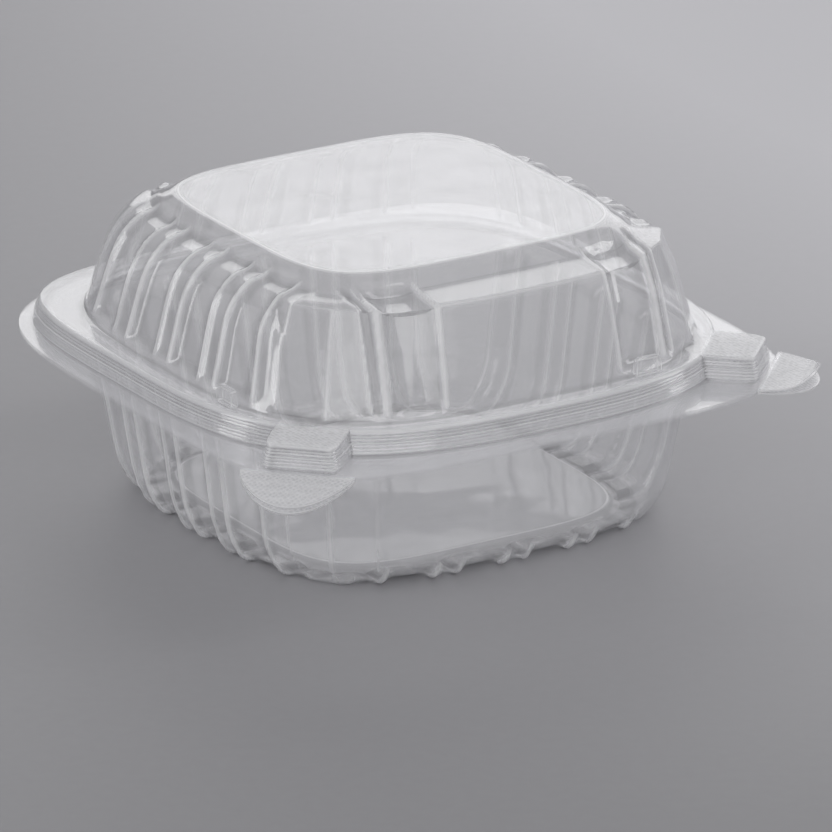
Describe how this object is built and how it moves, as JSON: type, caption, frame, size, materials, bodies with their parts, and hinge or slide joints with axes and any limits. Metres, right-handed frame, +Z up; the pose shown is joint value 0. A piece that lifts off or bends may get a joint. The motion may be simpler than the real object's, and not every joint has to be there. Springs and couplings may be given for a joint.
{
  "type": "hinged lid food container",
  "caption": "Clear hinged-lid take-out container: ribbed tray and windowed dome lid on a living hinge, with corner latches and lift tabs.",
  "frame": {"origin": "middle of the footprint, on the surface that the feet stand on", "axes": "+Z up, -Y towards the latches at the front, +Y towards the hinge, +X to the right seen from the front"},
  "size_m": [0.1512, 0.1532, 0.0723],
  "materials": {
    "clear_sheet": "clear, glossy formed polystyrene sheet",
    "stippled_sheet": "the same clear sheet, formed against a fine grip texture"
  },
  "bodies": {
    "base": {"base_corner_back_left": "clear_sheet", "base_corner_back_right": "clear_sheet", "base_corner_front_left": "clear_sheet", "base_corner_front_right": "clear_sheet", "base_floor_panel": "clear_sheet", "base_floor_step": "clear_sheet", "base_foot_ring": "clear_sheet", "base_hinge_leaf": "clear_sheet", "base_latch_stud_left": "clear_sheet", "base_latch_stud_right": "clear_sheet", "base_rim_back": "clear_sheet", "base_rim_front": "clear_sheet", "base_rim_left": "clear_sheet", "base_rim_right": "clear_sheet", "base_tab_left": "stippled_sheet", "base_tab_right": "stippled_sheet", "base_wall_back": "clear_sheet", "base_wall_front": "clear_sheet", "base_wall_left": "clear_sheet", "base_wall_right": "clear_sheet"},
    "lid": {"lid_collar": "clear_sheet", "lid_corner_back_left": "clear_sheet", "lid_corner_back_right": "clear_sheet", "lid_corner_front_left": "clear_sheet", "lid_corner_front_right": "clear_sheet", "lid_hinge_leaf": "clear_sheet", "lid_latch_pad_left": "stippled_sheet", "lid_latch_pad_right": "stippled_sheet", "lid_rim_back": "clear_sheet", "lid_rim_front": "clear_sheet", "lid_rim_left": "clear_sheet", "lid_rim_right": "clear_sheet", "lid_shoulder": "clear_sheet", "lid_stacking_lug_front": "clear_sheet", "lid_stacking_lug_left": "clear_sheet", "lid_top_panel": "clear_sheet", "lid_wall_back": "clear_sheet", "lid_wall_front": "clear_sheet", "lid_wall_left": "clear_sheet", "lid_wall_right": "clear_sheet"},
    "lid_tab_left": {"lid_tab_left": "stippled_sheet"},
    "lid_tab_right": {"lid_tab_right": "stippled_sheet"}
  },
  "joints": [
    {"name": "lid_hinge", "type": "hinge", "parent": "base", "child": "lid", "pos_m": [0, 0.07675, 0.0373], "axis": [-1, 0, 0], "range_deg": [0, 180]},
    {"name": "lid_tab_left_flex", "type": "hinge", "parent": "lid", "child": "lid_tab_left", "pos_m": [-0.06297, -0.06297, 0.03765], "axis": [-0.7071, 0.7071, 0], "range_deg": [0, 30], "stiffness_Nm_per_rad": 0.02},
    {"name": "lid_tab_right_flex", "type": "hinge", "parent": "lid", "child": "lid_tab_right", "pos_m": [0.06297, -0.06297, 0.03765], "axis": [-0.7071, -0.7071, 0], "range_deg": [0, 30], "stiffness_Nm_per_rad": 0.02}
  ]
}
